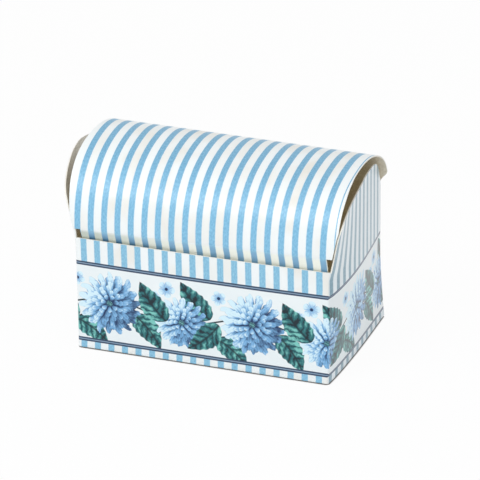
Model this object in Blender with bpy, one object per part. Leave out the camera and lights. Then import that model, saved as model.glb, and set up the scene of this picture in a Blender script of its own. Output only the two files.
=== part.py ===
"""A mini chest box: one printed, creased sheet of thin board folded into a chest with a domed lid.

The model is in metres, +Z up. The origin is the middle of the base, on the surface that the box
stands on. The front wall faces -Y. Each panel of the sheet is an object of its own, and so is
each folded edge, because the panels on its two sides can turn about it.
"""

import math

import bpy
from mathutils import Vector

for leftover in list(bpy.data.objects):
    bpy.data.objects.remove(leftover, do_unlink=True)

# The sheet of board
BOARD = 0.00045
GAP = 0.0003
FOLD_RADIUS = 0.0008
CREASE_GAP = 0.0004

# The body of the box, outside
LENGTH = 0.0917
DEPTH = 0.0565
FRONT_HEIGHT = 0.042
BACK_HEIGHT = 0.051

# How the walls of the folded sheet bulge
FRONT_BOW = 0.0007
BACK_BOW = 0.0004
SIDE_BOW = 0.0019
SIDE_BOW_BASE_SHARE = 0.4
SIDE_BOW_FORWARD_SHARE = 0.75
BOW_FULL_HEIGHT = 0.033

# How the box stands askew on its foot: sideways at the front and at the rear
FRONT_SKEW = -0.00045
REAR_SKEW = 0.00157
SKEW_HEIGHT = 0.026
SKEW_CURVE_SHARE = 1.4

# The arched gables: their top, and how the loose edges spring outwards
GABLE_HEIGHT = 0.063
GABLE_FRONT_SHARES = ((0.0, 0.0), (0.002, 1.0), (0.02, 0.81), (0.61, 1.0))
GABLE_REAR_SHARES = ((0.61, 1.0), (0.95, 1.0), (0.903, 0.766), (1.0, 0.0))
GABLE_EDGE_INSET = 0.0002
FLARE = 0.0026
FLARE_RISE = 0.012
FLARE_BELOW_TOP = 0.003
FLARE_REACH = 0.0113
FLARE_CURVE_SHARE = 0.87
LEFT_LEAN = 0.0107
LEFT_LEAN_RISE = 0.0165
LEFT_LEAN_BELOW_TOP = 0.0013
LEFT_LEAN_FRONT_SHARE = 0.327
LEFT_LEAN_CURVE_SHARE = 1.264
LEFT_LEAN_REARWARD_SHARE = 1.64

# The domed lid and the tuck flap at its front
CROWN_HEIGHT = 0.0692
LID_REAR_SHARES = ((1.07, 0.55), (0.82, 1.0), (0.535, 1.0))
LID_FRONT_SHARES = ((0.214, 1.0), (0.005, 0.76))
LID_CREASE_RISE = 0.00435
LID_SKEW_LIFT = 0.0008
CROWN_SKEW_LIFT = 0.00095
LID_CREASE_PROUD = 0.0003
LID_OVERHANG_RIGHT = 0.0022
LID_OVERHANG_LEFT = 0.0038
LID_LEFT_TAPER_SHARE = 0.125
LID_CORNER_CUT = 0.0042
TUCK_LENGTH = 0.015
TUCK_INSET_RIGHT = 0.0015
TUCK_INSET_LEFT = 0.0023
TUCK_CORNER = 0.007
TUCK_PLAY = 0.0002

# The bottom: a front flap whose tongue passes up through the rear flap, and two side flaps
FLAP_END_CLEARANCE = 0.0009
FRONT_FLAP_NECK = 0.007
FRONT_FLAP_TAPER = 0.0085
FRONT_FLAP_REACH = 0.031
TONGUE_HALF_WIDTH = 0.017
TONGUE_STEP = 0.0075
TONGUE_GRIP = 0.008
REAR_FLAP_RISE = 0.0085
REAR_FLAP_REACH = 0.034
RECESS_MARGIN = 0.002
SIDE_FLAP_RISE = 0.0075
SIDE_FLAP_REACH = 0.02
SIDE_FLAP_INSET = 0.0105
SIDE_FLAP_TAPER = 0.003

# The flap that the glued seam is made with
GLUE_FLAP_WIDTH = 0.011
GLUE_FLAP_END_INSET = 0.003
GLUE_FLAP_TAPER = 0.002

# How finely the curved sheets are divided
WALL_COLUMNS = 12
SIDE_COLUMNS = 18
LOWER_ROWS = 4
GABLE_ROWS = 5
LID_ROWS = 30
LID_COLUMNS = 8
FOLD_STEPS = 4

# Colours of the print and of the plain inside
PRINTED = (0.66, 0.83, 0.92)
LID_PRINTED = (0.55, 0.79, 0.93)
PLAIN = (0.80, 0.77, 0.70)

HALF = LENGTH / 2
EDGE = FOLD_RADIUS + GAP
LAYER = BOARD + GAP
FRONT_Y = -DEPTH / 2
HINGE_RUN = DEPTH - BOARD / 2
CREASE_HEIGHT = FRONT_HEIGHT + LID_CREASE_RISE
RECESS_DEPTH = FRONT_FLAP_REACH + 2 * GAP + TONGUE_STEP - (DEPTH - REAR_FLAP_REACH)
REAR_FLAP_TOP = 2 * LAYER + BOARD


def material(name, colour, roughness):
    """A plain board finish."""
    made = bpy.data.materials.new(name)
    made.use_nodes = True
    shader = made.node_tree.nodes["Principled BSDF"]
    shader.inputs["Base Color"].default_value = (*colour, 1.0)
    shader.inputs["Roughness"].default_value = roughness
    shader.inputs["Metallic"].default_value = 0.0
    return made


def ease(share):
    """A smooth step from 0 to 1."""
    share = min(max(share, 0.0), 1.0)
    return share * share * (3 - 2 * share)


def steps(low, high, count):
    """Evenly spaced values from low to high, both included."""
    return [low + (high - low) * k / count for k in range(count + 1)]


def bunched(low, high, count):
    """Values from low to high that lie closer together near both ends."""
    return [low + (high - low) * (1 - math.cos(math.pi * k / count)) / 2 for k in range(count + 1)]


def bezier(points, share):
    """A point of the cubic curve through four control points."""
    rest = 1 - share
    weights = (rest**3, 3 * rest**2 * share, 3 * rest * share**2, share**3)
    return tuple(sum(w * p[k] for w, p in zip(weights, points)) for k in range(2))


def askew(place):
    """The point moved sideways as the foot of the box stands, less the higher it lies."""
    share = (place.y - FRONT_Y) / DEPTH
    down = max(1 - place.z / SKEW_HEIGHT, 0.0) ** SKEW_CURVE_SHARE
    return (place.x + down * (FRONT_SKEW + (REAR_SKEW - FRONT_SKEW) * share), place.y, place.z)


def sheet(name, surface, across, along, finish, outer=0.0, keep=None):
    """A closed sheet of board.

    surface(u, v) gives a point of the printed face, moved out by the length outer. The board's
    thickness lies on its other side. keep(u, v) says which cells of the grid are board.
    """
    reach_u = (max(across) - min(across)) / 2000
    reach_v = (max(along) - min(along)) / 2000

    def normal(u, v):
        ahead = Vector(surface(u + reach_u, v)) - Vector(surface(u - reach_u, v))
        up = Vector(surface(u, v + reach_v)) - Vector(surface(u, v - reach_v))
        return ahead.cross(up).normalized()

    cells = [
        (i, j)
        for i in range(len(across) - 1)
        for j in range(len(along) - 1)
        if keep is None or keep((across[i] + across[i + 1]) / 2, (along[j] + along[j + 1]) / 2)
    ]
    points = []
    index = {}
    for i, j in cells:
        for corner in ((i, j), (i + 1, j), (i + 1, j + 1), (i, j + 1)):
            if corner in index:
                continue
            u, v = across[corner[0]], along[corner[1]]
            place, facing = Vector(surface(u, v)), normal(u, v)
            index[corner] = len(points)
            points.append(askew(place + facing * outer))
            points.append(askew(place + facing * (outer - BOARD)))
    faces = []
    rim = {}
    for i, j in cells:
        loop = [index[c] for c in ((i, j), (i + 1, j), (i + 1, j + 1), (i, j + 1))]
        faces.append(loop)
        faces.append([k + 1 for k in reversed(loop)])
        for start, end in zip(loop, loop[1:] + loop[:1]):
            if (end, start) in rim:
                del rim[(end, start)]
            else:
                rim[(start, end)] = True
    for start, end in rim:
        faces.append([end, start, start + 1, end + 1])
    mesh = bpy.data.meshes.new(name)
    mesh.from_pydata(points, [], faces)
    mesh.materials.append(finish)
    made = bpy.data.objects.new(name, mesh)
    bpy.context.scene.collection.objects.link(made)
    mesh.shade_smooth()
    mesh.set_sharp_from_angle(angle=math.radians(35))
    return made


def set_origin(made, place, parent=None):
    """Moves an object's origin to a point of its joint's axis, and leaves its shape where it is."""
    place = Vector(place)
    for vertex in made.data.vertices:
        vertex.co -= place
    made.location = place
    if parent is not None:
        made.parent = parent
        made.matrix_parent_inverse = parent.matrix_world.inverted()


def arch_height(run):
    """The height of the gable's cut edge, at a distance run behind the front."""
    share = run / DEPTH
    for curve, low in ((GABLE_FRONT_SHARES, FRONT_HEIGHT), (GABLE_REAR_SHARES, BACK_HEIGHT)):
        if share > curve[3][0]:
            continue
        left, right = 0.0, 1.0
        for _ in range(40):
            middle = (left + right) / 2
            if bezier(curve, middle)[0] < share:
                left = middle
            else:
                right = middle
        return low + (GABLE_HEIGHT - low) * bezier(curve, left)[1]
    return BACK_HEIGHT


def side_bow(run, height):
    """How far a side wall swells out of its flat plane."""
    share = min(max((run - FOLD_RADIUS) / (DEPTH - 2 * FOLD_RADIUS), 0.0), 1.0)
    swell = SIDE_BOW_BASE_SHARE + (1 - SIDE_BOW_BASE_SHARE) * ease(height / BOW_FULL_HEIGHT)
    return SIDE_BOW * swell * math.sin(math.pi * share**SIDE_BOW_FORWARD_SHARE)


def right_out(run, height):
    """How far the right wall stands out, with the loose front edge of its gable sprung open."""
    above = max(height - (FRONT_HEIGHT - FLARE_BELOW_TOP), 0.0) / FLARE_RISE
    return side_bow(run, height) + FLARE * above**FLARE_CURVE_SHARE * math.exp(-run / FLARE_REACH)


def left_out(run, height):
    """How far the left wall stands out: its whole gable leans away from the lid."""
    share = min(max(run / DEPTH, 0.0), 1.0)
    low = FRONT_HEIGHT - LEFT_LEAN_BELOW_TOP
    above = max(height - low - (BACK_HEIGHT - low) * share, 0.0) / LEFT_LEAN_RISE
    middle = math.sin(math.pi * share**LEFT_LEAN_REARWARD_SHARE)
    spread = LEFT_LEAN_FRONT_SHARE + (1 - LEFT_LEAN_FRONT_SHARE) * middle
    return side_bow(run, height) + LEFT_LEAN * above**LEFT_LEAN_CURVE_SHARE * spread


def front_bow(x, height):
    """How far the front wall swells out of its flat plane. Its top edge is free."""
    return FRONT_BOW * max(1 - (x / HALF) ** 2, 0.0) * ease(2 * height / FRONT_HEIGHT)


def back_bow(x, height):
    """How far the back wall swells out between its straight foot and the straight hinge crease."""
    share = min(max(height / BACK_HEIGHT, 0.0), 1.0)
    return BACK_BOW * max(1 - (x / HALF) ** 2, 0.0) * math.sin(math.pi * share)


def build_front_wall(finish):
    def surface(x, height):
        return (x, FRONT_Y - front_bow(x, height), height)

    across = steps(-(HALF - EDGE), HALF - EDGE, WALL_COLUMNS)
    return sheet("front_wall", surface, across, steps(EDGE, FRONT_HEIGHT, LOWER_ROWS), finish)


def build_back_wall(finish):
    """The left end of this wall reaches the corner, because the glued flap lies inside it."""

    def surface(x, height):
        return (-x, -FRONT_Y + back_bow(x, height), height)

    top = BACK_HEIGHT - BOARD / 2 - CREASE_GAP
    across = steps(-(HALF - EDGE), HALF, WALL_COLUMNS)
    return sheet("back_wall", surface, across, steps(EDGE, top, LOWER_ROWS), finish)


def build_side_wall(name, side, out, rear_run, finish):
    """A side wall with its gable. side is 1 for the right wall and -1 for the left one."""
    split = FRONT_HEIGHT + GAP

    def surface(u, v):
        run = u if side > 0 else -u
        if v < 1:
            height = EDGE + (split - EDGE) * v
        else:
            height = split + (arch_height(run) - split) * (v - 1)
        return (side * (HALF + out(run, height)), FRONT_Y + run, height)

    runs = [GABLE_EDGE_INSET] + bunched(EDGE, rear_run, SIDE_COLUMNS)
    across = runs if side > 0 else [-run for run in reversed(runs)]
    along = steps(0.0, 1.0, LOWER_ROWS + 1) + steps(1.0, 2.0, GABLE_ROWS)[1:]
    return sheet(name, surface, across, along, finish, keep=lambda u, v: abs(u) > EDGE or v > 1)


def build_corner_fold(name, x_side, rear, top, out, inset, finish):
    """A rounded upright corner. inset is how far behind the outer face its rear end lies."""

    def surface(turn, height):
        beside = math.sin(turn) if not rear else math.cos(turn)
        behind = math.cos(turn) if not rear else math.sin(turn)
        run = FOLD_RADIUS * (1 - behind)
        if rear:
            run = DEPTH - inset - FOLD_RADIUS * (1 - behind)
        x = HALF - FOLD_RADIUS * (1 - beside) + out(run, height) * beside
        return (x_side * x, FRONT_Y + run, height)

    turns = steps(0.0, math.pi / 2, FOLD_STEPS)
    if x_side < 0:
        turned = lambda turn, height: surface(-turn, height)
        return sheet(name, turned, [-t for t in reversed(turns)], steps(0.0, top, LOWER_ROWS), finish)
    return sheet(name, surface, turns, steps(0.0, top, LOWER_ROWS), finish)


def build_base_fold(name, wall, finish):
    """A rounded edge between a wall's foot and its bottom flap."""
    turns = steps(0.0, math.pi / 2, FOLD_STEPS)

    def surface(u, turn):
        inward = FOLD_RADIUS * (1 - math.sin(turn))
        height = FOLD_RADIUS * (1 - math.cos(turn))
        if wall == "front":
            return (u, FRONT_Y + inward, height)
        if wall == "back":
            return (-u, -FRONT_Y - inward, height)
        if wall == "right":
            return (HALF + side_bow(u, FOLD_RADIUS) - inward, FRONT_Y + u, height)
        return (-(HALF + side_bow(-u, FOLD_RADIUS) - inward), FRONT_Y - u, height)

    if wall in ("front", "back"):
        end = HALF - EDGE
        across = steps(-end, end, WALL_COLUMNS)
    else:
        across = bunched(EDGE, DEPTH - EDGE - LAYER, SIDE_COLUMNS)
        if wall == "left":
            across = [-run for run in reversed(across)]
    return sheet(name, surface, across, turns, finish)


def stepped_width(u, inner, outer_half):
    """x for a grid position u whose middle half, -0.5 to 0.5, stays inner wide on each side."""
    if abs(u) <= 0.5:
        return inner * u / 0.5
    return math.copysign(inner + (outer_half - inner) * (abs(u) - 0.5) / 0.5, u)


FLAP_GRID_SHARES = (-1.0, -0.75, -0.5, -0.25, 0.0, 0.25, 0.5, 0.75, 1.0)


def build_bottom_front_flap(finish):
    """The outermost flap. Its tongue climbs through the rear flap's recess and lies on that flap."""
    start = EDGE
    step_run = FRONT_FLAP_REACH + GAP
    end = DEPTH - REAR_FLAP_REACH + RECESS_DEPTH + TONGUE_GRIP

    def surface(u, run):
        half = HALF - FLAP_END_CLEARANCE - FOLD_RADIUS - FRONT_FLAP_TAPER * ease(run / FRONT_FLAP_NECK)
        height = 3 * LAYER * ease((run - step_run) / TONGUE_STEP)
        return (-stepped_width(u, TONGUE_HALF_WIDTH, half), FRONT_Y + run, height)

    along = steps(start, FRONT_FLAP_NECK, 4) + steps(FRONT_FLAP_NECK, FRONT_FLAP_REACH, 3)[1:]
    along += [step_run] + steps(step_run, step_run + TONGUE_STEP, 6)[1:]
    along += steps(step_run + TONGUE_STEP, end, 2)[1:]

    def keep(u, run):
        return run < FRONT_FLAP_REACH or abs(u) < 0.5

    return sheet("bottom_front_flap", surface, FLAP_GRID_SHARES, along, finish, keep=keep)


def build_bottom_rear_flap(finish):
    """The innermost flap, with a recess in its free edge for the tongue."""
    recess_half = TONGUE_HALF_WIDTH + RECESS_MARGIN
    recess_end = REAR_FLAP_REACH - RECESS_DEPTH

    def surface(u, reach):
        height = 2 * LAYER * ease((reach - EDGE) / (REAR_FLAP_RISE - EDGE))
        half = HALF - FLAP_END_CLEARANCE - FOLD_RADIUS
        return (stepped_width(u, recess_half, half), -FRONT_Y - reach, height)

    along = steps(EDGE, REAR_FLAP_RISE, 5) + steps(REAR_FLAP_RISE, recess_end, 2)[1:]
    along += steps(recess_end, REAR_FLAP_REACH, 2)[1:]

    def keep(u, reach):
        return reach < recess_end or abs(u) > 0.5

    return sheet("bottom_rear_flap", surface, FLAP_GRID_SHARES, along, finish, keep=keep)


def build_bottom_side_flap(name, side, finish):
    """A dust flap, folded in between the front and the rear flap."""

    def surface(u, reach):
        height = LAYER * ease((reach - EDGE) / (SIDE_FLAP_RISE - EDGE))
        narrowing = SIDE_FLAP_TAPER * reach / SIDE_FLAP_REACH
        low, high = SIDE_FLAP_INSET + narrowing, DEPTH - SIDE_FLAP_INSET - narrowing
        run = low + (high - low) * (1 - side * u) / 2
        edge = side_bow(run, FOLD_RADIUS) * (1 - reach / SIDE_FLAP_REACH)
        return (side * (HALF + edge - reach), FRONT_Y + run, height)

    along = steps(EDGE, SIDE_FLAP_RISE, 5) + steps(SIDE_FLAP_RISE, SIDE_FLAP_REACH, 2)[1:]
    return sheet(name, surface, steps(-1.0, 1.0, 8), along, finish)


def build_glue_flap(finish):
    """The seam flap, glued inside the back wall at its left end."""
    face = DEPTH - LAYER

    def surface(u, v):
        x = -HALF + FOLD_RADIUS + GAP + GLUE_FLAP_WIDTH * u
        low = GLUE_FLAP_END_INSET + REAR_FLAP_TOP + GLUE_FLAP_TAPER * u
        high = BACK_HEIGHT - GLUE_FLAP_END_INSET - GLUE_FLAP_TAPER * u
        height = low + (high - low) * v
        return (x, FRONT_Y + face + back_bow(x, height), height)

    across = [-share for share in steps(0.0, 1.0, 2)][::-1]
    return sheet("glue_flap", lambda u, v: surface(-u, v), across, steps(0.0, 1.0, LOWER_ROWS), finish)


def lid_profile():
    """Points of the middle of the lid's board, from the hinge over the crown to the front crease.

    Each is (run behind the front, height, how much higher the lid's right end is than its middle).
    """
    rise = CROWN_HEIGHT - BACK_HEIGHT
    drop = CROWN_HEIGHT - CREASE_HEIGHT
    rear = [(HINGE_RUN, BACK_HEIGHT)]
    rear += [(DEPTH * y, BACK_HEIGHT + rise * z) for y, z in LID_REAR_SHARES]
    front = [rear[-1]]
    front += [(DEPTH * y, CREASE_HEIGHT + drop * z) for y, z in LID_FRONT_SHARES]
    front += [(-LID_CREASE_PROUD, CREASE_HEIGHT)]
    points = []
    for k in range(60):
        points.append((*bezier(rear, k / 60), -CROWN_SKEW_LIFT * ease(k / 60)))
    for k in range(61):
        lift = (LID_SKEW_LIFT + CROWN_SKEW_LIFT) * ease(k / 60) - CROWN_SKEW_LIFT
        points.append((*bezier(front, k / 60), lift))
    return points


def along_profile(points, distance):
    """The point at a distance along a line of points, continued straight past its ends."""
    for near, far in zip(points, points[1:]):
        length = math.dist(near[:2], far[:2])
        if distance <= length or far is points[-1]:
            return tuple(a + (b - a) * distance / length for a, b in zip(near, far))
        distance -= length


PROFILE = lid_profile()
PROFILE_LENGTH = sum(math.dist(a[:2], b[:2]) for a, b in zip(PROFILE, PROFILE[1:]))
FOLD_STAND_OFF = BOARD / 2 + CREASE_GAP


def lid_overhang(side, distance, run, height):
    """How far an end of the lid reaches past the box at one place along its profile."""
    full = LID_OVERHANG_RIGHT
    if side < 0:
        full = LID_OVERHANG_LEFT - LID_LEFT_TAPER_SHARE * (CROWN_HEIGHT - height)
    reach = -GAP + (full + GAP) * ease((distance - FOLD_STAND_OFF) / LID_CORNER_CUT)
    out = right_out if side > 0 else left_out
    inside_gable = out(max(run, 0.0), height) - BOARD - GAP
    above = ease((height - arch_height(max(run, 2 * FOLD_RADIUS)) + BOARD) / (4 * BOARD))
    if run > DEPTH / 2:
        above = 1.0
    return min(reach, inside_gable) * (1 - above) + reach * above


def build_lid(finish):
    def surface(u, distance):
        run, height, lift = along_profile(PROFILE, distance)
        right = HALF + lid_overhang(1, distance, run, height)
        left = HALF + lid_overhang(-1, distance, run, height)
        x = right - (left + right) * (u + 1) / 2
        return (x, FRONT_Y + run, height + lift * x / HALF)

    along = steps(FOLD_STAND_OFF, LID_CORNER_CUT, 3)
    along += steps(LID_CORNER_CUT, PROFILE_LENGTH - FOLD_STAND_OFF, LID_ROWS)[1:]
    return sheet("lid_dome", surface, steps(-1.0, 1.0, LID_COLUMNS), along, finish, outer=BOARD / 2)


def tuck_run(height):
    """The run of the tuck flap's middle: one distance from the hinge, just inside the front wall's top."""
    wall_top = math.hypot(HINGE_RUN - BOARD - GAP, BACK_HEIGHT - FRONT_HEIGHT)
    reach = wall_top - TUCK_PLAY - BOARD / 2
    swing = BACK_HEIGHT - height
    proud = DEPTH - math.sqrt(reach**2 - (BACK_HEIGHT - CREASE_HEIGHT) ** 2) + LID_CREASE_PROUD
    above = max(height - FRONT_HEIGHT, 0.0) / LID_CREASE_RISE
    return HINGE_RUN - math.sqrt(reach**2 - swing**2) - (proud - BOARD / 2) * above**1.5


def build_tuck_flap(finish):
    left, right = tuck_ends()

    def surface(u, down):
        corner = max(down - (TUCK_LENGTH - TUCK_CORNER), 0.0) / TUCK_CORNER
        narrowed = (right - left) / 2 - TUCK_CORNER * (1 - math.sqrt(max(1 - corner**2, 0.0)))
        x = (left + right) / 2 - u * narrowed
        height = CREASE_HEIGHT + LID_SKEW_LIFT * x / HALF - down
        level = CREASE_HEIGHT - down
        return (x, FRONT_Y + tuck_run(level), height)

    along = steps(FOLD_STAND_OFF, LID_CREASE_RISE, 3)
    along += steps(LID_CREASE_RISE, TUCK_LENGTH - TUCK_CORNER, 2)[1:]
    along += [TUCK_LENGTH - TUCK_CORNER * (1 - math.sin(turn)) for turn in steps(0.0, 1.35, 6)[1:]]
    return sheet("tuck_flap", surface, steps(-1.0, 1.0, LID_COLUMNS), along, finish, outer=BOARD / 2)


def tuck_ends():
    """x of the two ends of the front crease, a little inside the lid's own ends there."""
    left, right = (lid_overhang(side, PROFILE_LENGTH, 0.0, CREASE_HEIGHT) for side in (-1, 1))
    return (-HALF - left + TUCK_INSET_LEFT + BOARD, HALF + right - TUCK_INSET_RIGHT - BOARD)


def build_fold_line(name, start, end, finish):
    """The scored line of a crease that still turns: a thin round strip along the joint's axis."""
    along = Vector(end) - Vector(start)
    side = along.cross(Vector((0.0, 0.0, 1.0))).normalized()
    up = along.cross(side).normalized()
    mesh = bpy.data.meshes.new(name)
    points = []
    for place in (Vector(start), Vector(end)):
        for k in range(8):
            turn = 2 * math.pi * k / 8
            points.append(place + (side * math.cos(turn) + up * math.sin(turn)) * BOARD / 2)
    faces = [[k, (k + 1) % 8, (k + 1) % 8 + 8, k + 8] for k in range(8)]
    faces += [list(range(7, -1, -1)), list(range(8, 16))]
    mesh.from_pydata([tuple(p) for p in points], [], faces)
    mesh.materials.append(finish)
    made = bpy.data.objects.new(name, mesh)
    bpy.context.scene.collection.objects.link(made)
    return made


printed = material("printed_board", PRINTED, 0.45)
lid_printed = material("printed_lid_board", LID_PRINTED, 0.4)
plain = material("plain_board", PLAIN, 0.75)

build_front_wall(printed)
build_back_wall(printed)
build_side_wall("right_side_wall", 1, right_out, DEPTH - EDGE, printed)
build_side_wall("left_side_wall", -1, left_out, DEPTH - LAYER - EDGE, printed)

front_top = FRONT_HEIGHT
rear_top = BACK_HEIGHT - BOARD / 2 - CREASE_GAP
build_corner_fold("corner_fold_front_left", -1, False, front_top, left_out, 0.0, printed)
build_corner_fold("corner_fold_front_right", 1, False, front_top, right_out, 0.0, printed)
build_corner_fold("corner_fold_rear_left", -1, True, rear_top, left_out, LAYER, printed)
build_corner_fold("corner_fold_rear_right", 1, True, rear_top, right_out, 0.0, printed)

for wall in ("front", "back", "left", "right"):
    build_base_fold(f"base_fold_{wall}", wall, printed)
build_bottom_front_flap(plain)
build_bottom_rear_flap(plain)
build_bottom_side_flap("bottom_left_flap", -1, plain)
build_bottom_side_flap("bottom_right_flap", 1, plain)
build_glue_flap(plain)

hinge_start = (-(HALF - EDGE), FRONT_Y + HINGE_RUN, BACK_HEIGHT)
hinge_end = (HALF - EDGE, FRONT_Y + HINGE_RUN, BACK_HEIGHT)
build_fold_line("lid_hinge_fold", hinge_start, hinge_end, printed)
lid = build_lid(lid_printed)
set_origin(lid, (0.0, FRONT_Y + HINGE_RUN, BACK_HEIGHT))

crease_y = FRONT_Y - LID_CREASE_PROUD
crease_start, crease_end = (
    (x, crease_y, CREASE_HEIGHT + LID_SKEW_LIFT * x / HALF) for x in tuck_ends()
)
crease = build_fold_line("lid_front_fold", crease_start, crease_end, lid_printed)
bpy.context.view_layer.update()
set_origin(crease, (0.0, crease_y, CREASE_HEIGHT), lid)
tuck = build_tuck_flap(lid_printed)
bpy.context.view_layer.update()
set_origin(tuck, (0.0, crease_y, CREASE_HEIGHT), crease)
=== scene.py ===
# %% [markdown]
# The mini chest box, dressed in Blender.
#
# The real thing is one sheet of thin card, printed on one side, cut, creased and folded into a small
# chest with a domed lid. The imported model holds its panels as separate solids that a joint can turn.
# Here they are dressed as what they are on the real box: one sheet that runs on through its folds.
#
# All places are in metres, with the middle of the base at the origin and the front facing -Y.

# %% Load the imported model
import math
from functools import partialmethod

import bpy
from mathutils import Matrix, Vector


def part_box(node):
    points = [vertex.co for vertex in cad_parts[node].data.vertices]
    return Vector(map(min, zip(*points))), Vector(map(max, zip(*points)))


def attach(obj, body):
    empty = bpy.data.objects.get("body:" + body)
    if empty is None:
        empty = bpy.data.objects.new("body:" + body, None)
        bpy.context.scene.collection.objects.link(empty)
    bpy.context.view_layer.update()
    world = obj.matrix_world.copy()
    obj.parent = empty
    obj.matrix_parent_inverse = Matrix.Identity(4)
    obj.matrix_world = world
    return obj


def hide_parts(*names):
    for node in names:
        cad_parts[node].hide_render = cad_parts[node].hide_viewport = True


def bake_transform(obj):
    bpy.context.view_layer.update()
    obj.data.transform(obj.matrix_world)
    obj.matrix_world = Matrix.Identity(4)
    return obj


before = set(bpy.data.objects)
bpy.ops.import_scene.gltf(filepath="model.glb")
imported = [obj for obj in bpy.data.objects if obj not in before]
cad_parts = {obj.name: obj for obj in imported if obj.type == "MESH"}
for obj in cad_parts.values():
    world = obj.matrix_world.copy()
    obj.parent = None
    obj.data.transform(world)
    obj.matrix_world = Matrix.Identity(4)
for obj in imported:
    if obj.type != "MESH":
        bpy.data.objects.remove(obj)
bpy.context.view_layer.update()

# %% [markdown]
# The sizes repeat those of the part's source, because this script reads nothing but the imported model.
# A fold in card isn't sharp: its outside is a small round, here 0.8 mm, and the board is 0.45 mm thick.

# %% Sizes of the sheet and of the folded box
MM = 0.001
BOARD = 0.45 * MM
FOLD_RADIUS = 0.8 * MM
GAP = 0.3 * MM
CREASE_GAP = 0.4 * MM
LENGTH = 91.7 * MM
DEPTH = 56.5 * MM
FRONT_HEIGHT = 42.0 * MM
BACK_HEIGHT = 51.0 * MM
GABLE_HEIGHT = 63.0 * MM
CROWN_HEIGHT = 69.2 * MM

HALF = LENGTH / 2
FRONT_Y = -DEPTH / 2
LAYER = BOARD + GAP
HINGE_RUN = DEPTH - BOARD / 2
WALL_TOP_BACK = BACK_HEIGHT - BOARD / 2 - CREASE_GAP


def ease(share):
    """A smooth step from 0 to 1."""
    share = min(max(share, 0.0), 1.0)
    return share * share * (3 - 2 * share)


def steps(low, high, count):
    """Evenly spaced values from low to high, both included."""
    return [low + (high - low) * k / count for k in range(count + 1)]


def in_scene(name, data):
    """A new object in the scene."""
    made = bpy.data.objects.new(name, data)
    bpy.context.scene.collection.objects.link(made)
    return made


def bezier(points, share):
    """A point of the cubic curve through four control points."""
    rest = 1 - share
    weights = (rest**3, 3 * rest**2 * share, 3 * rest * share**2, share**3)
    return tuple(sum(w * p[k] for w, p in zip(weights, points)) for k in range(2))


front_low, front_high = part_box("front_wall")
print(f"front wall of the packed model: {(front_high.x - front_low.x) / MM:.1f} mm between its folds")

# %% [markdown]
# A folded carton is never flat. The side walls swell outwards, and the loose edges of the gables spring
# open: the right one only at its front, the left one all along, so that its inner face shows past the
# lid. Each of these shapes is a short formula of the place on the wall. They are those of the part's
# source, apart from some small values that were changed here, each by a fraction of a millimetre.

# %% How the walls and gables swell
FRONT_BOW = 0.7 * MM
BACK_BOW = 0.37 * MM
SIDE_BOW = 1.9 * MM
SIDE_BOW_AT_FOOT = 0.4
SIDE_BOW_FORWARD = 0.75
BOW_FULL_HEIGHT = 33 * MM
FLARE = 2.6 * MM
FLARE_RISE = 12 * MM
FLARE_CURVE = 0.87
FLARE_REACH = 12.5 * MM
FLARE_FADE = 1.3
FLARE_BELOW_TOP = 3 * MM
LEFT_LEAN = 10.66 * MM
LEFT_LEAN_RISE = 16.5 * MM
LEFT_LEAN_CURVE = 1.264
LEFT_LEAN_AT_FRONT = 0.327
LEFT_LEAN_REARWARD = 1.64
LEFT_LEAN_BELOW_TOP = 1.3 * MM
FRONT_SKEW = -0.45 * MM
REAR_SKEW = 1.57 * MM
SKEW_HEIGHT = 26 * MM
SKEW_CURVE = 1.4
GABLE_FRONT_SHARES = ((0.0, 0.0), (0.002, 1.0), (0.02, 0.81), (0.61, 1.0))
GABLE_REAR_SHARES = ((0.61, 1.0), (0.95, 1.0), (0.903, 0.766), (1.0, 0.0))


def side_bow(run, height):
    """The swelling of a side wall, run behind the front and height above the floor."""
    share = min(max((run - FOLD_RADIUS) / (DEPTH - 2 * FOLD_RADIUS), 0.0), 1.0)
    fullness = SIDE_BOW_AT_FOOT + (1 - SIDE_BOW_AT_FOOT) * ease(height / BOW_FULL_HEIGHT)
    return SIDE_BOW * fullness * math.sin(math.pi * share**SIDE_BOW_FORWARD)


def side_out(side, run, height):
    """How far the right (1) or the left (-1) wall stands outside its flat plane."""
    if side > 0:
        above = max(height - (FRONT_HEIGHT - FLARE_BELOW_TOP), 0.0) / FLARE_RISE
        fading = math.exp(-((max(run, 0.0) / FLARE_REACH) ** FLARE_FADE))
        return side_bow(run, height) + FLARE * above**FLARE_CURVE * fading
    share = min(max(run / DEPTH, 0.0), 1.0)
    low = FRONT_HEIGHT - LEFT_LEAN_BELOW_TOP
    above = max(height - low - (BACK_HEIGHT - low) * share, 0.0) / LEFT_LEAN_RISE
    rearward = math.sin(math.pi * share**LEFT_LEAN_REARWARD)
    spread = LEFT_LEAN_AT_FRONT + (1 - LEFT_LEAN_AT_FRONT) * rearward
    return side_bow(run, height) + LEFT_LEAN * above**LEFT_LEAN_CURVE * spread


def front_bow(x, height):
    return FRONT_BOW * max(1 - (x / HALF) ** 2, 0.0) * ease(2 * height / FRONT_HEIGHT)


def back_bow(x, height):
    share = min(max(height / BACK_HEIGHT, 0.0), 1.0)
    return BACK_BOW * max(1 - (x / HALF) ** 2, 0.0) * math.sin(math.pi * share)


def askew(place):
    """The foot of the box stands a little askew: the place moved sideways, less the higher it lies."""
    x, y, z = place
    down = max(1 - z / SKEW_HEIGHT, 0.0) ** SKEW_CURVE
    return x + down * (FRONT_SKEW + (REAR_SKEW - FRONT_SKEW) * (y - FRONT_Y) / DEPTH), y, z


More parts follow.
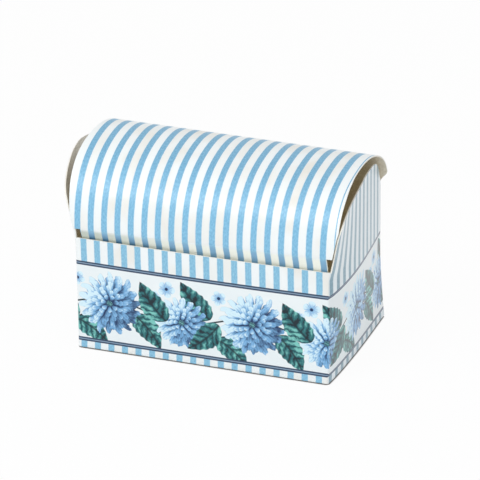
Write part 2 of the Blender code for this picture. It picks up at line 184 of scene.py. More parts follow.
def arch_height(run):
    """The height of a gable's cut edge."""
    share = run / DEPTH
    for curve, low in ((GABLE_FRONT_SHARES, FRONT_HEIGHT), (GABLE_REAR_SHARES, BACK_HEIGHT)):
        if share > curve[3][0]:
            continue
        left, right = 0.0, 1.0
        for _ in range(40):
            middle = (left + right) / 2
            if bezier(curve, middle)[0] < share:
                left = middle
            else:
                right = middle
        return low + (GABLE_HEIGHT - low) * bezier(curve, left)[1]
    return BACK_HEIGHT


print(f"left gable leans out {side_out(-1, 0.6 * DEPTH, GABLE_HEIGHT) / MM:.1f} mm at its top")

# %% [markdown]
# The sleeve, its gables and the four bottom flaps are one piece of card. It is drawn as its printed face
# only: rows of points from patches that share their edge points, so that the face runs on round every
# fold. The thickness comes afterwards, in one step for the whole sheet.
#
# Each point also gets its place on the flat printed sheet, in millimetres, as its UV: along the walls
# from the front left corner, and up from the floor. The print is drawn there, so it runs round the
# corners unbroken, as it does on the real box.

# %% A printed face from patches with shared edges
FOLD_STEPS = 6


class Face:
    """The printed face of a sheet, in patches that join where their points meet."""

    def __init__(self):
        self.points = []
        self.index = {}
        self.faces = []
        self.flat = []

    def point(self, place):
        key = tuple(round(c / MM, 4) for c in place)
        if key not in self.index:
            self.index[key] = len(self.points)
            self.points.append(askew(place))
        return self.index[key]

    def patch(self, columns, rows, place, keep=None):
        """place(column, row) gives a point and its place on the flat sheet."""
        made = [[place(column, row) for row in rows] for column in columns]
        for i in range(len(columns) - 1):
            for j in range(len(rows) - 1):
                if keep and not keep(columns[i], columns[i + 1], rows[j], rows[j + 1]):
                    continue
                corners = [made[i][j], made[i + 1][j], made[i + 1][j + 1], made[i][j + 1]]
                loop = [self.point(p) for p, _ in corners]
                if len(set(loop)) < 3:
                    continue
                self.faces.append(loop)
                self.flat.append([uv for _, uv in corners])

    def mesh(self, name):
        made = bpy.data.meshes.new(name)
        made.from_pydata(self.points, [], self.faces)
        layer = made.uv_layers.new(name="UVMap")
        flat = [uv for corners in self.flat for uv in corners]
        for loop, (u, v) in zip(layer.data, flat):
            loop.uv = (u / MM, v / MM)
        return made


# %% The parts of the sleeve, from the glued flap round to the back wall
COLUMN_WIDTH = 1.5 * MM
GLUE_COLUMNS = 8
GLUE_FLAP_WIDTH = 11 * MM
GLUE_FLAP_INSET = 3 * MM
GLUE_FLAP_SLANT = 2 * MM
LEFT_REAR = DEPTH - LAYER
BACK_SHIFT = 1.26 * MM
PRINT_DRIFT = 0.95 * MM
WALL_ROWS = 28
GABLE_ROWS = 16
GABLE_EDGE_INSET = 0.2 * MM
GABLE_CORNER_TURN = math.radians(80)


def wall_panels():
    """The columns of each panel and fold, as (panel, place along it, place on the flat sheet)."""
    quarter = (0.0, math.pi / 2, FOLD_STEPS)
    side_count, long_count = round(DEPTH / COLUMN_WIDTH), round(LENGTH / COLUMN_WIDTH)

    def fold(turn):
        return FOLD_RADIUS * (4 * turn / math.pi - 1)

    parts = (
        ("glue", GLUE_FLAP_WIDTH, 0.0, GLUE_COLUMNS, lambda x: -LEFT_REAR - FOLD_RADIUS - x),
        ("rear_left", *quarter, lambda a: -LEFT_REAR - FOLD_RADIUS * (1 - 2 * a / math.pi)),
        ("left", LEFT_REAR - FOLD_RADIUS, FOLD_RADIUS, side_count, lambda run: -run),
        ("front_left", *quarter, fold),
        ("front", -HALF + FOLD_RADIUS, HALF - FOLD_RADIUS, long_count, lambda x: HALF + x),
        ("front_right", *quarter, lambda a: LENGTH + fold(a)),
        ("right", FOLD_RADIUS, DEPTH - FOLD_RADIUS, side_count, lambda run: LENGTH + run),
        ("rear_right", *quarter, lambda a: LENGTH + DEPTH + fold(a) + BACK_SHIFT * 2 * a / math.pi),
        ("back", HALF - FOLD_RADIUS, -HALF, long_count, lambda x: LENGTH + DEPTH + HALF - x + BACK_SHIFT),
    )
    panels = {}
    for panel, start, end, count, flat in parts:
        made = [(panel, at, flat(at)) for at in steps(start, end, count)]
        if panels:
            # Its first column is the last one of the part before it.
            made[0] = (panel, start, last[2])
        panels[panel], last = made, made[-1]
    return panels


panels = wall_panels()
print("columns of each part:", {panel: len(made) for panel, made in panels.items()})

# %% Where the printed face of the walls lies
def wall_place(panel, a, z):
    """x and y of the printed face on one panel, at a place along it and a height."""
    if panel == "front":
        return a, FRONT_Y - front_bow(a, z)
    if panel == "back":
        return a, -FRONT_Y + back_bow(a, z)
    if panel == "glue":
        x = -HALF + FOLD_RADIUS + a
        return x, FRONT_Y + LEFT_REAR + back_bow(x, z)
    side = -1 if panel.endswith("left") else 1
    if panel in ("left", "right"):
        return side * (HALF + side_out(side, a, z)), FRONT_Y + a
    beside, behind = math.cos(a), math.sin(a)
    if panel in ("rear_left", "front_right"):
        beside, behind = behind, beside
    run = FOLD_RADIUS * (1 - behind)
    if panel.startswith("rear"):
        run = (LEFT_REAR if side < 0 else DEPTH) - run
    x = HALF - FOLD_RADIUS * (1 - beside) + side_out(side, run, z) * beside
    return side * x, FRONT_Y + run


def wall_span(panel, a):
    """The lowest and the highest point of a wall column, below the gables."""
    if panel in ("front", "front_left", "front_right"):
        return FOLD_RADIUS, FRONT_HEIGHT
    if panel == "glue":
        share = a / GLUE_FLAP_WIDTH
        low = GLUE_FLAP_INSET + 2 * LAYER + GLUE_FLAP_SLANT * share
        return low, BACK_HEIGHT - GLUE_FLAP_INSET - GLUE_FLAP_SLANT * share
    if panel in ("left", "right"):
        rear = LEFT_REAR if panel == "left" else DEPTH
        share = (a - FOLD_RADIUS) / (rear - 2 * FOLD_RADIUS)
        return FOLD_RADIUS, FRONT_HEIGHT + (WALL_TOP_BACK - FRONT_HEIGHT) * share
    return FOLD_RADIUS, WALL_TOP_BACK


def print_drift(along, height):
    """The print at the foot of the front wall lies a little to the left, most at its left end."""
    share = 1 - along / LENGTH if along > 0 else 1 + along / DEPTH
    return PRINT_DRIFT * min(max(share, 0.0), 1.0) * max(1 - height / SKEW_HEIGHT, 0.0)


def wall_point(column, row):
    """row runs from 0 at the foot of the wall to 1 at its top, and on to 2 at the top of a gable."""
    panel, a, along = column
    low, high = wall_span(panel, a)
    z = low + (high - low) * row
    if row > 1:
        run = FOLD_RADIUS * (1 - math.sin(a)) if panel == "front_left" else a
        z = high + (max(arch_height(run), high) - high) * (row - 1)
    x, y = wall_place(panel, a, z)
    return (x, y, z), (along + print_drift(along, z), z)


def foot_corner(column, row):
    """The rounded corner under a fold, from the floor at row 0 to the wall at row 1."""
    panel, a, along = column
    turn = (1 - row) * math.pi / 2
    end = LEFT_REAR if panel == "rear_left" else DEPTH
    run = end - FOLD_RADIUS if panel.startswith("rear") else FOLD_RADIUS
    middle_x = (HALF - FOLD_RADIUS) * (-1 if panel.endswith("left") else 1)
    middle_y = FRONT_Y + run
    x, y = wall_place(panel, a, FOLD_RADIUS)
    x = middle_x + (x - middle_x) * math.cos(turn)
    y = middle_y + (y - middle_y) * math.cos(turn)
    z = FOLD_RADIUS * (1 - math.sin(turn))
    return (x, y, z), (along + print_drift(along, 0.0), FOLD_RADIUS * (1 - turn))


# %% Lay the walls and the gables
columns = panels["glue"][:1] + [column for made in panels.values() for column in made[1:]]
box_face = Face()
box_face.patch(columns, steps(0.0, 1.0, WALL_ROWS), wall_point)

# The left gable's front edge runs on round the corner fold, nearly to its end.
left_rear = ("left", LEFT_REAR - FOLD_RADIUS, FOLD_RADIUS - LEFT_REAR)
corner = [column for column in panels["front_left"][1:] if column[1] < GABLE_CORNER_TURN]
right_front = ("right", GABLE_EDGE_INSET, LENGTH + GABLE_EDGE_INSET)
for gable in ([left_rear, *panels["left"][1:], *corner], [right_front, *panels["right"]]):
    box_face.patch(gable, steps(1.0, 2.0, GABLE_ROWS), wall_point)
for fold in ("rear_left", "front_left", "front_right", "rear_right"):
    box_face.patch(panels[fold], steps(0.0, 1.0, FOLD_STEPS), foot_corner)
print(f"walls: {len(columns)} columns round the sleeve, {len(box_face.faces)} faces")

# %% [markdown]
# The bottom can't be seen in the photo. A box of this kind has a locking bottom: two side flaps, then a
# rear flap with a recess, then a front flap whose tongue climbs through the recess and lies on the rear
# flap. The flaps hang on the walls by a round fold, so their patches start on the walls' lowest points.

# %% The folds at the foot of the walls, and the bottom flaps
FRONT_FLAP_REACH = 31 * MM
FRONT_FLAP_NARROWER = 9.4 * MM
FRONT_FLAP_CORNER = 7 * MM
REAR_FLAP_REACH = 34 * MM
REAR_FLAP_NARROWER = 0.9 * MM
REAR_FLAP_CORNER = 2 * MM
REAR_FLAP_CLIMB = 8.5 * MM
SIDE_FLAP_REACH = 20 * MM
SIDE_FLAP_INSET = 10.5 * MM
SIDE_FLAP_TAPER = 3 * MM
SIDE_FLAP_CLIMB = 7.5 * MM
TONGUE_HALF_WIDTH = 17 * MM
TONGUE_STEP = 7.5 * MM
TONGUE_HOLD = 8 * MM
RECESS_PLAY = 2 * MM
FLAP_ROW = 0.8 * MM
RECESS_DEPTH = FRONT_FLAP_REACH + 2 * GAP + TONGUE_STEP - (DEPTH - REAR_FLAP_REACH)
TONGUE_END = DEPTH - REAR_FLAP_REACH + RECESS_DEPTH + TONGUE_HOLD


def front_flap(x, reach):
    """x, distance from the wall, and height of the front flap's outer face."""
    half = HALF - FOLD_RADIUS - FRONT_FLAP_NARROWER * ease((reach - FOLD_RADIUS) / FRONT_FLAP_CORNER)
    rise = 3 * LAYER * ease((reach - FRONT_FLAP_REACH) / TONGUE_STEP)
    return x * half / (HALF - FOLD_RADIUS), reach, rise


def rear_flap(x, reach):
    half = HALF - FOLD_RADIUS - REAR_FLAP_NARROWER * ease((reach - FOLD_RADIUS) / REAR_FLAP_CORNER)
    return x * half / (HALF - FOLD_RADIUS), reach, 2 * LAYER * ease(reach / REAR_FLAP_CLIMB)


def side_flap(run, reach):
    narrowing = SIDE_FLAP_TAPER * reach / SIDE_FLAP_REACH
    low, high = SIDE_FLAP_INSET, DEPTH - SIDE_FLAP_INSET
    inside = (run - low) / (high - low)
    run = run if reach <= FOLD_RADIUS else low + narrowing + (high - low - 2 * narrowing) * inside
    return run, reach, LAYER * ease(reach / SIDE_FLAP_CLIMB)


def foot_point(panel, flap):
    """The point at a place along a wall's foot, from 0 at the wall over 1 at the floor to the flap."""

    def place(column, row):
        _, a, along = column
        turn = min(row, 1.0) * math.pi / 2
        reach = FOLD_RADIUS * (1 - math.cos(turn))
        height = FOLD_RADIUS * (1 - math.sin(turn))
        on_wall = wall_place(panel, a, FOLD_RADIUS)[1] * (1 - min(row, 1.0))
        if row > 1:
            a, reach, height = flap(a, FOLD_RADIUS + (row - 1) * MM)
        if panel == "front":
            point = (a, on_wall + FRONT_Y * min(row, 1.0) + reach, height)
        elif panel == "back":
            point = (a, on_wall - FRONT_Y * min(row, 1.0) - reach, height)
        else:
            side = 1 if panel == "right" else -1
            bow = side_bow(a, FOLD_RADIUS) * (1 - reach / SIDE_FLAP_REACH)
            point = (side * (HALF + bow - reach), FRONT_Y + a, height)
        return point, (along + print_drift(along, 0.0), FOLD_RADIUS * (1 - turn) - max(row - 1, 0.0) * MM)

    return place


# %% Lay the flaps
FLAPS = {
    "front": (front_flap, TONGUE_END),
    "back": (rear_flap, REAR_FLAP_REACH),
    "left": (side_flap, SIDE_FLAP_REACH),
    "right": (side_flap, SIDE_FLAP_REACH),
}
for panel, (flap, reach) in FLAPS.items():
    flap_rows = [1.0 + r / MM for r in steps(0.0, reach - FOLD_RADIUS, round(reach / FLAP_ROW))]

    def keep(left, right, low, high, panel=panel):
        middle = (left[1] + right[1]) / 2
        deep = FOLD_RADIUS + (low - 1) * MM
        if low < 1:
            return True
        if panel == "front":
            return deep < FRONT_FLAP_REACH or abs(middle) < TONGUE_HALF_WIDTH
        if panel == "back":
            inside_recess = abs(middle) < TONGUE_HALF_WIDTH + RECESS_PLAY
            return deep < REAR_FLAP_REACH - RECESS_DEPTH or not inside_recess
        return SIDE_FLAP_INSET < middle < DEPTH - SIDE_FLAP_INSET

    rows = steps(0.0, 1.0, FOLD_STEPS) + flap_rows[1:]
    box_face.patch(panels[panel][::-1], rows, foot_point(panel, flap), keep)
print(f"the whole printed face: {len(box_face.points)} points, {len(box_face.faces)} faces")

# %% [markdown]
# The lid is a sheet that follows a path: up from the back wall through the hinge crease, over the crown
# and down to the front crease. The tuck flap follows a second path, from that crease down behind the
# front wall. A shape that follows a rule like this suits Geometry Nodes. The tree below makes a grid,
# samples the path once for each row, and spreads the row between the two ends that the path's points
# carry. The same tree serves both sheets.

# %% The middle of the lid's board, and of the tuck flap's
LID_REAR_SHARES = ((1.07, 0.55), (0.82, 1.0), (0.535, 1.0))
LID_FRONT_SHARES = ((0.214, 1.0), (0.005, 0.76))
CREASE_HEIGHT = FRONT_HEIGHT + 4.35 * MM
CREASE_PROUD = 0.3 * MM
CREASE_LIFT = 0.8 * MM
CREASE_ROUND = 1.1 * MM
CROWN_LIFT = 0.95 * MM
TUCK_LENGTH = 15 * MM
TUCK_PLAY = 0.2 * MM
TUCK_CURVE = 1.5
PATH_STEPS = 150


def lid_middle():
    """Points over the crown to the front crease: run, height, and how much higher the right end is."""
    rise, drop = CROWN_HEIGHT - BACK_HEIGHT, CROWN_HEIGHT - CREASE_HEIGHT
    rear = [(HINGE_RUN, BACK_HEIGHT)]
    rear += [(DEPTH * y, BACK_HEIGHT + rise * z) for y, z in LID_REAR_SHARES]
    front = [rear[-1]]
    front += [(DEPTH * y, CREASE_HEIGHT + drop * z) for y, z in LID_FRONT_SHARES]
    front += [(-CREASE_PROUD, CREASE_HEIGHT)]
    shares = steps(0.0, 1.0, PATH_STEPS)
    points = [(*bezier(rear, share), -CROWN_LIFT * ease(share)) for share in shares[:-1]]
    for share in shares:
        points.append((*bezier(front, share), (CREASE_LIFT + CROWN_LIFT) * ease(share) - CROWN_LIFT))
    return points


def tuck_middle():
    """Points down from the crease. The flap keeps one distance from the hinge, to pass the front wall."""
    wall_top = math.hypot(HINGE_RUN - BOARD - GAP, BACK_HEIGHT - FRONT_HEIGHT)
    reach = wall_top - TUCK_PLAY - BOARD / 2
    proud = DEPTH - math.sqrt(reach**2 - (BACK_HEIGHT - CREASE_HEIGHT) ** 2) + CREASE_PROUD
    points = []
    for height in steps(CREASE_HEIGHT, CREASE_HEIGHT - TUCK_LENGTH, PATH_STEPS // 2):
        above = max(height - FRONT_HEIGHT, 0.0) / (CREASE_HEIGHT - FRONT_HEIGHT)
        run = HINGE_RUN - math.sqrt(reach**2 - (BACK_HEIGHT - height) ** 2)
        points.append((run - (proud - BOARD / 2) * above**TUCK_CURVE, height, CREASE_LIFT))
    return points


def rounded(points, at):
    """The same path with a soft bend in place of its corner at one point."""
    corner = Vector(points[at][:2])
    before = (Vector(points[at - 1][:2]) - corner).normalized()
    after = (Vector(points[at + 1][:2]) - corner).normalized()
    bent = []
    for k, (run, height, lift) in enumerate(points):
        away = math.dist((run, height), corner) / CREASE_ROUND
        if away < 1:
            share = (1 + away) / 2 if k > at else (1 - away) / 2
            run, height = corner + (before * (1 - share) ** 2 + after * share**2) * CREASE_ROUND
        bent.append((run, height, lift))
    return bent


def outside(points):
    """The same path moved half a board outwards, to the printed face."""
    moved = []
    for k, (run, height, lift) in enumerate(points):
        before, after = points[max(k - 1, 0)], points[min(k + 1, len(points) - 1)]
        along = Vector((after[0] - before[0], after[1] - before[1])).normalized()
        moved.append((run + along.y * BOARD / 2, height - along.x * BOARD / 2, lift))
    return moved


middle = lid_middle()
crease_at = len(middle) - 1
middle = rounded(middle + tuck_middle()[1:], crease_at)
printed_path = outside(middle)
print(f"lid and tuck flap: a path of {len(middle)} points, with its crease at {crease_at}")

# %% The two ends of the lid and of the tuck flap
OVERHANG_LEFT = 3.6 * MM
LEFT_END_SLANT = 0.125
OVERHANG_RIGHT = 2.2 * MM
SHORT_ON_CROWN = 0.75 * MM
SHORT_FROM = 4 * MM
SHORT_ALONG = 45 * MM
SHORT_CURVE = 0.7
LONG_AT_FRONT = 0.7 * MM
LONG_FROM = 47 * MM
LONG_ALONG = 14 * MM
CORNER_CUT = 4.2 * MM
SIDE_PLAY = 0.1 * MM
TUCK_CORNER = 7 * MM
TUCK_INSET_LEFT = 2.3 * MM
TUCK_INSET_RIGHT = 1.5 * MM


def lid_reach(side, distance, run, height):
    """How far an end of the lid reaches past the box. Beside a gable it stays inside it."""
    full = OVERHANG_LEFT - LEFT_END_SLANT * (CROWN_HEIGHT - height)
    if side > 0:
        # The right end is a little shorter over the crown and a little longer at the front.
        crown = min(max((distance - SHORT_FROM) / SHORT_ALONG, 0.0), 1.0)
        full = OVERHANG_RIGHT - SHORT_ON_CROWN * math.sin(math.pi * crown) ** SHORT_CURVE
        full += LONG_AT_FRONT * ease((distance - LONG_FROM) / LONG_ALONG)
    reach = -GAP + (full + GAP) * ease((distance - BOARD / 2 - CREASE_GAP) / CORNER_CUT)
    inside_gable = side_out(side, max(run, 0.0), height) - BOARD - SIDE_PLAY
    above = ease((height - arch_height(max(run, 2 * FOLD_RADIUS)) + BOARD) / (4 * BOARD))
    if run > DEPTH / 2:
        above = 1.0
    return min(reach, inside_gable) * (1 - above) + reach * above


def lid_path():
    """Rows of (run, height, x of the left end, x of the right end, lift)."""
    path = [(DEPTH, WALL_TOP_BACK, -HALF, HALF - FOLD_RADIUS, 0.0)]
    distance = 0.0
    for k in range(crease_at + 1):
        if k:
            distance += math.dist(middle[k][:2], middle[k - 1][:2])
        left, right = (HALF + lid_reach(s, distance, middle[k][0], middle[k][1]) for s in (-1, 1))
        run, height, lift = printed_path[k]
        path.append((run, height, -left, right, lift))
    return path


def tuck_path(lid_end):
    """The same for the tuck flap. Its lower corners are rounded."""
    left = lid_end[2] + TUCK_INSET_LEFT + BOARD
    right = lid_end[3] - TUCK_INSET_RIGHT - BOARD
    path = []
    for (_, level, _), (run, height, lift) in zip(middle[crease_at:], printed_path[crease_at:]):
        corner = max(CREASE_HEIGHT - level - (TUCK_LENGTH - TUCK_CORNER), 0.0) / TUCK_CORNER
        narrowed = TUCK_CORNER * (1 - math.sqrt(max(1 - corner**2, 0.0)))
        path.append((run, height, left + narrowed, right - narrowed, lift))
    return path


lid_rows = lid_path()
tuck_rows = tuck_path(lid_rows[-1])
for name, row in (("lid at the crease", lid_rows[-1]), ("tuck flap", tuck_rows[0])):
    print(f"{name}: {(row[3] - row[2]) / MM:.1f} mm long")

# %% [markdown]
# The rest is worked out by nodes. Sums are easier to read as sums than as a list of linked nodes, so a
# Term stands for one value in a tree. Adding, multiplying or comparing terms makes the math nodes for it
# and links them.

# %% Helpers for node trees
class Term:
    """A value in a node tree. Sums and products of terms become math nodes."""

    def __init__(self, tree, socket):
        self.tree = tree
        self.socket = socket

    def math(self, operation, *others, clamp=False):
        return term(self.tree, "ShaderNodeMath", (self, *others), operation=operation, use_clamp=clamp)

    __add__ = partialmethod(math, "ADD")
    __sub__ = partialmethod(math, "SUBTRACT")
    __mul__ = partialmethod(math, "MULTIPLY")
    __truediv__ = partialmethod(math, "DIVIDE")
    __pow__ = partialmethod(math, "POWER")
    __abs__ = partialmethod(math, "ABSOLUTE")
    times_plus = partialmethod(math, "MULTIPLY_ADD")
    at_least = partialmethod(math, "MAXIMUM")

    def __rsub__(self, other):
        return term(self.tree, "ShaderNodeMath", (other, self), operation="SUBTRACT")

    def rising(self, low, high):
        """0 where this is below low, 1 where it is above high, and smooth in between."""
        values = {"Value": self, "From Min": low, "From Max": high}
        return term(self.tree, "ShaderNodeMapRange", values, interpolation_type="SMOOTHSTEP")

    def falling(self, low, high):
        """1 where this is below low, 0 where it is above high."""
        return 1.0 - self.rising(low, high)

    def split(self):
        """The three parts of a vector."""
        made = add(self.tree, "ShaderNodeSeparateXYZ", (self,))
        return [Term(self.tree, output) for output in made.outputs]


def wire(tree, socket, value):
    """Feeds a socket from a term or another socket, or sets its value."""
    value = value.socket if isinstance(value, Term) else value
    if isinstance(value, bpy.types.NodeSocket):
        tree.links.new(value, socket)
    else:
        socket.default_value = value


def add(tree, kind, values=(), **settings):
    """A new node. values are given in the order of its inputs, or as a dict by name or place."""
    made = tree.nodes.new(kind)
    for name, value in settings.items():
        setattr(made, name, value)
    pairs = values.items() if isinstance(values, dict) else enumerate(values)
    for key, value in pairs:
        wire(tree, made.inputs[key], value)
    return made


def term(tree, kind, values=(), output=0, **settings):
    """A new node's output, as a term."""
    return Term(tree, add(tree, kind, values, **settings).outputs[output])


def shown(sockets, name):
    """The socket of that name that a node shows with its present settings."""
    return next(socket for socket in sockets if socket.enabled and socket.name == name)


def tree_with(name, result, **inputs):
    """A Geometry Nodes tree with named inputs, each of a kind and perhaps with a usual value."""
    tree = bpy.data.node_groups.new(name, "GeometryNodeTree")
    for key, (kind, *usual) in inputs.items():
        made = tree.interface.new_socket(
            key.replace("_", " "), in_out="INPUT", socket_type="NodeSocket" + kind
        )
        if usual:
            made.default_value = usual[0]
    tree.interface.new_socket(result, in_out="OUTPUT", socket_type="NodeSocketGeometry")
    return tree, add(tree, "NodeGroupInput").outputs


# %% [markdown]
# Board has a thickness, a plain inner face and a pale cut edge, and each of the three looks different.
# The tree below gives a printed face its board: it extrudes a copy of the face inwards, turns that copy
# round, joins the two and sets a material on the outer face, the inner face and the cut edge.

# %% Geometry Nodes: a board from its printed face
SEAM_WELD = 0.03 * MM
EDGE_WELD = 0.002 * MM


def board_tree():
    tree, given = tree_with(
        "Board from its printed face", "Board", Printed_face=("Geometry",), Thickness=("Float", BOARD),
        Print=("Material",), Plain_side=("Material",), Cut_edge=("Material",),
    )

    def coloured(geometry, material, **chosen):
        values = {"Geometry": geometry, "Material": given[material], **chosen}
        return add(tree, "GeometryNodeSetMaterial", values).outputs[0]

    def welded(geometry, distance):
        values = {"Geometry": geometry, "Distance": distance}
        return add(tree, "GeometryNodeMergeByDistance", values).outputs[0]

    whole = welded(given["Printed face"], SEAM_WELD)
    values = {"Mesh": whole, "Offset Scale": Term(tree, given["Thickness"]) * -1.0, "Individual": False}
    inner = add(tree, "GeometryNodeExtrudeMesh", values).outputs
    plain = coloured(inner["Mesh"], "Plain side")
    edged = coloured(plain, "Cut edge", Selection=inner["Side"])
    turned = add(tree, "GeometryNodeFlipFaces", {"Mesh": edged})
    joined = add(tree, "GeometryNodeJoinGeometry", (turned.outputs[0],))
    wire(tree, joined.inputs[0], coloured(whole, "Print"))
    closed = welded(joined.outputs[0], EDGE_WELD)
    real = add(tree, "GeometryNodeRealizeInstances", (closed,))
    add(tree, "NodeGroupOutput", (real.outputs[0],))
    return tree


board = board_tree()
print("tree for the board:", len(board.nodes), "nodes")

# %% [markdown]
# The stripes of the lid aren't quite square to its crease: towards the crown they drift to the left and
# stand a little further apart. The tree writes that skew and stretch into the sheet's flat places.

# %% Geometry Nodes: a sheet that follows a path
PRINT_SKEW = 0.0476
PRINT_STRETCH = 0.447


def path_tree():
    tree, given = tree_with(
        "Sheet along a path", "Sheet", Path=("Geometry",), Rows=("Int", 60), Columns=("Int", 60),
        Print_skew=("Float", PRINT_SKEW), Print_stretch=("Float", PRINT_STRETCH), Material=("Material",),
    )
    curve = add(tree, "GeometryNodeMeshToCurve", (given["Path"],)).outputs[0]
    values = {"Size X": 1.0, "Size Y": 1.0, "Vertices X": given["Columns"], "Vertices Y": given["Rows"]}
    grid = add(tree, "GeometryNodeMeshGrid", values)
    x, y, _ = term(tree, "GeometryNodeInputPosition").split()
    share_across, share_along = x + 0.5, y + 0.5
    ends = term(tree, "GeometryNodeInputNamedAttribute", ("ends",), data_type="FLOAT_VECTOR")
    settings = {"data_type": "FLOAT_VECTOR", "mode": "FACTOR", "use_all_curves": True}
    values = {"Curves": curve, "Factor": share_along}
    sample = add(tree, "GeometryNodeSampleCurve", values, **settings)
    wire(tree, shown(sample.inputs, "Value"), ends)
    left, right, lift = Term(tree, shown(sample.outputs, "Value")).split()
    _, path_y, path_z = Term(tree, sample.outputs["Position"]).split()
    across = term(tree, "ShaderNodeMix", {"Factor": share_across, 2: right, 3: left})
    target = term(tree, "ShaderNodeCombineXYZ", (across, path_y, across * lift + path_z))

    run = path_y + -FRONT_Y
    on_print = across * (1.0 - run * Term(tree, given["Print stretch"]))
    skewed = run.times_plus(given["Print skew"], on_print)
    down = share_along * term(tree, "GeometryNodeCurveLength", (curve,))
    flat = term(tree, "ShaderNodeCombineXYZ", ((skewed + HALF) * (1 / MM), down * (1 / MM)))
    values = {"Geometry": grid.outputs["Mesh"], "Name": "UVMap"}
    stored = add(tree, "GeometryNodeStoreNamedAttribute", values, data_type="FLOAT2", domain="CORNER")
    wire(tree, shown(stored.inputs, "Value"), flat)
    placed = add(tree, "GeometryNodeSetPosition", {"Geometry": stored.outputs[0], "Position": target})
    real = add(tree, "GeometryNodeRealizeInstances", (placed.outputs[0],))
    values = {"Geometry": real.outputs[0], "Material": given["Material"]}
    dressed = add(tree, "GeometryNodeSetMaterial", values)
    add(tree, "NodeGroupOutput", (dressed.outputs[0],))
    return tree


along_path = path_tree()
print("tree for a sheet along a path:", len(along_path.nodes), "nodes")

# %% Apply a tree and keep a plain mesh
def run_tree(name, mesh, tree, **values):
    """The plain mesh that a tree makes from a mesh. A modifier's inputs are set by identifier."""
    identifiers = {made.name: made.identifier for made in tree.interface.items_tree}
    source = in_scene(name + "_source", mesh)
    modifier = source.modifiers.new("Tree", "NODES")
    modifier.node_group = tree
    for key, value in values.items():
        modifier[identifiers[key.replace("_", " ")]] = value
    bpy.context.view_layer.update()
    evaluated = source.evaluated_get(bpy.context.evaluated_depsgraph_get())
    made = bpy.data.meshes.new_from_object(evaluated)
    bpy.data.objects.remove(source)
    made.name = name
    return made


def path_mesh(name, rows):
    """A line of points that carries the two ends of each row and its slope."""
    mesh = bpy.data.meshes.new(name)
    points = [(0.0, FRONT_Y + run, height) for run, height, *_ in rows]
    mesh.from_pydata(points, [(k, k + 1) for k in range(len(points) - 1)], [])
    ends = mesh.attributes.new("ends", "FLOAT_VECTOR", "POINT")
    for place, (_, _, left, right, lift) in zip(ends.data, rows):
        place.vector = (left, right, lift / HALF)
    return mesh


# %% [markdown]
# The print is drawn in the shaders from the sheet's flat coordinates: sky-blue stripes, two double rules
# and a flower border between them. The border is a plain design of its own, as on any wallpaper border:
# many-petalled asters and small five-petalled flowers on a running vine. Each motif is a formula of
# distance and angle, in a group that can be used again at another place and size.

# %% Colours of the print and of the board
def colour(code):
    """A screen colour such as 8CCBF0 as the linear values that a shader takes."""
    parts = [int(code[k : k + 2], 16) / 255 for k in (0, 2, 4)]
    return (*[p / 12.92 if p <= 0.04045 else ((p + 0.055) / 1.055) ** 2.4 for p in parts], 1.0)


PAPER_WHITE = colour("F4F9FA")
PAPER_CREAM = colour("EDEBE4")
STRIPE_BLUE = colour("98CFE8")
STRIPE_DEEP = colour("82BADA")
# Painted shade and veil: the right wall's whites and blues, darker and greyer than the front's.
RIGHT_WALL_SHADED_WHITES = (colour("ECF5F9"), colour("E4ECEF"))
RIGHT_WALL_SHADED_BLUES = (colour("7399AB"), colour("8AB0C0"))
CROWN_BLUES = (colour("6DA8CC"), colour("87C0DE"))
LID_FRONT_BLUES = (colour("77B4D8"), colour("91CBEA"))
RULE_NAVY = colour("2C4260")
RULE_GAP = colour("8CA6BC")
# Painted shade: the dark line along the foot of the walls, standing for the contact shadow.
FOOT_SHADOW = colour("5E554B")
BAND_GROUND = colour("EAF3F6")
PETAL_DEEP = colour("0E2F5C")
PETAL_MIDDLE = colour("7CB4E2")
PETAL_PALE = colour("DAF4FF")
LEAF_DEEP = colour("04232E")
LEAF_MIDDLE = colour("216C72")
LEAF_PALE = colour("7ECBC2")
print("stripe blue in linear light:", [round(part, 3) for part in STRIPE_BLUE[:3]])

# %% Shader helpers
def paint(share, under, over):
    """The colour over laid on under, as far as share says."""
    return term(share.tree, "ShaderNodeMix", {0: share, 6: under, 7: over}, output=2, data_type="RGBA")


def noise(place, scale, detail=2.0, stretch=(1.0, 1.0, 1.0)):
    """Soft noise from about 0 to 1 on flat coordinates in millimetres."""
    turned = term(place.tree, "ShaderNodeMapping", {"Vector": place, "Scale": stretch})
    return term(place.tree, "ShaderNodeTexNoise", {"Vector": turned, "Scale": scale, "Detail": detail})


def chance_of(seed):
    """An even chance from 0 to 1, another for each value of the seed."""
    return term(seed.tree, "ShaderNodeTexWhiteNoise", {"W": seed}, noise_dimensions="1D")


def motif(name, inputs, outputs, draw):
    """A shader group. draw gets its inputs as terms, in order, and returns its outputs."""
    tree = bpy.data.node_groups.new(name, "ShaderNodeTree")
    for key in inputs:
        tree.interface.new_socket(key, in_out="INPUT", socket_type="NodeSocketFloat")
    for key, kind in outputs.items():
        tree.interface.new_socket(key, in_out="OUTPUT", socket_type=kind)
    given = add(tree, "NodeGroupInput").outputs
    made = draw(*[Term(tree, given[key]) for key in inputs])
    add(tree, "NodeGroupOutput", dict(zip(outputs, made)))
    return tree


def use(group, **values):
    """A group at work on some values. Its outputs are terms by name."""
    tree = next(value.tree for value in values.values() if isinstance(value, Term))
    named = {key.replace("_", " "): value for key, value in values.items()}
    made = add(tree, "ShaderNodeGroup", named, node_tree=group)
    return {output.name: Term(tree, output) for output in made.outputs}


# %% The motifs of the border
COLOUR_OUT = {"Colour": "NodeSocketColor", "Mask": "NodeSocketFloat"}
BORDER_REPEAT = 52.0
PETAL_STRAIGHT = 0.55
ASTER_RINGS = (
    (1.0, 18, 0.0), (0.87, 17, 0.5), (0.73, 15, 0.2), (0.59, 13, 0.7), (0.44, 10, 0.1), (0.29, 7, 0.4)
)


